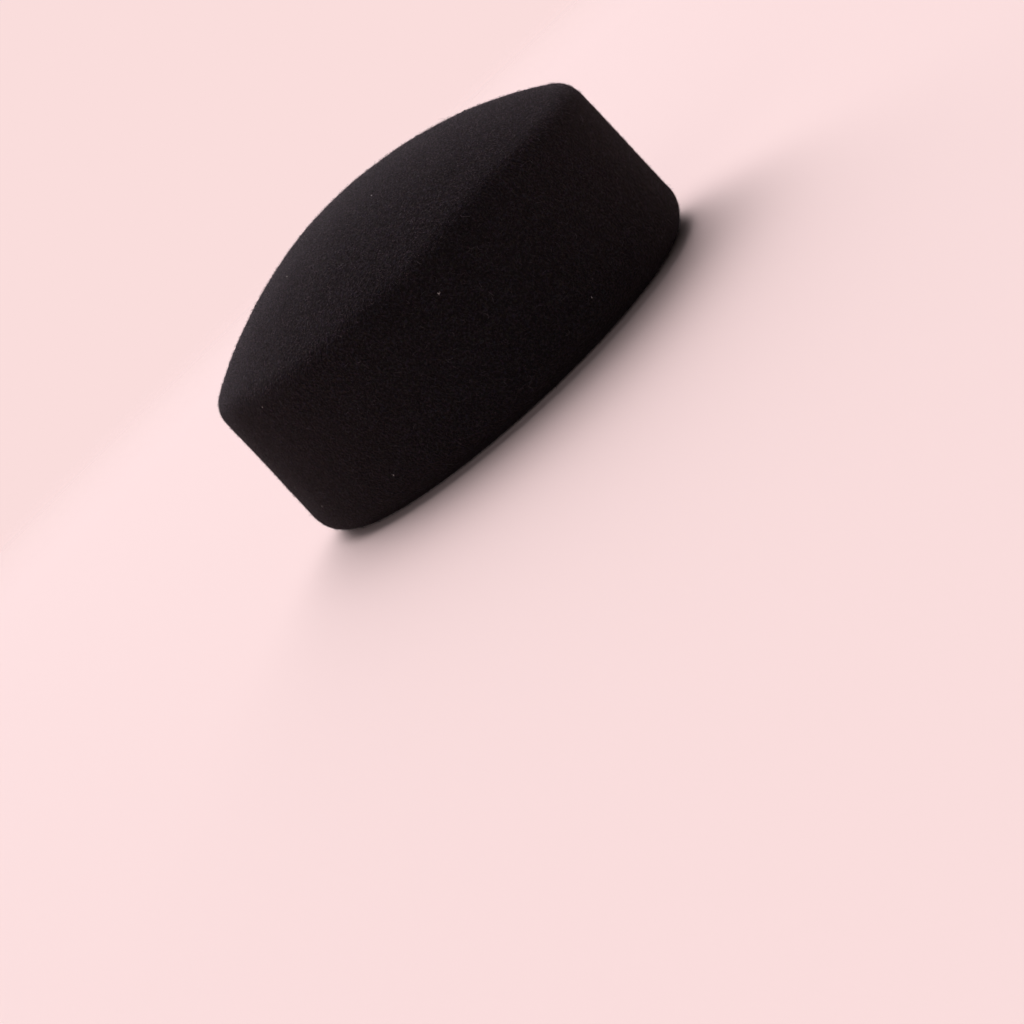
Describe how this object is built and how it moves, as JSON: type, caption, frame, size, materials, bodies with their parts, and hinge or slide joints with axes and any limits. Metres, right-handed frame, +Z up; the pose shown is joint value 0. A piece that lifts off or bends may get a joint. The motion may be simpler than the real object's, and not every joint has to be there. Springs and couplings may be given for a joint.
{
  "type": "pillbox hat",
  "caption": "Brimless oval pillbox hat of blocked wool felt: low domed crown, soft ridge, upright wall and an edge rolled in to an open head hollow.",
  "frame": {"origin": "middle of the oval plan, on the surface that the rolled-in edge rests on", "axes": "+Z up to the crown; -Y towards the front of the hat; X across the head"},
  "size_m": [0.2026, 0.2326, 0.1175],
  "materials": {
    "black_wool_felt": "matte brushed wool felt"
  },
  "bodies": {
    "root": {"felt_cap": "black_wool_felt"}
  },
  "joints": []
}
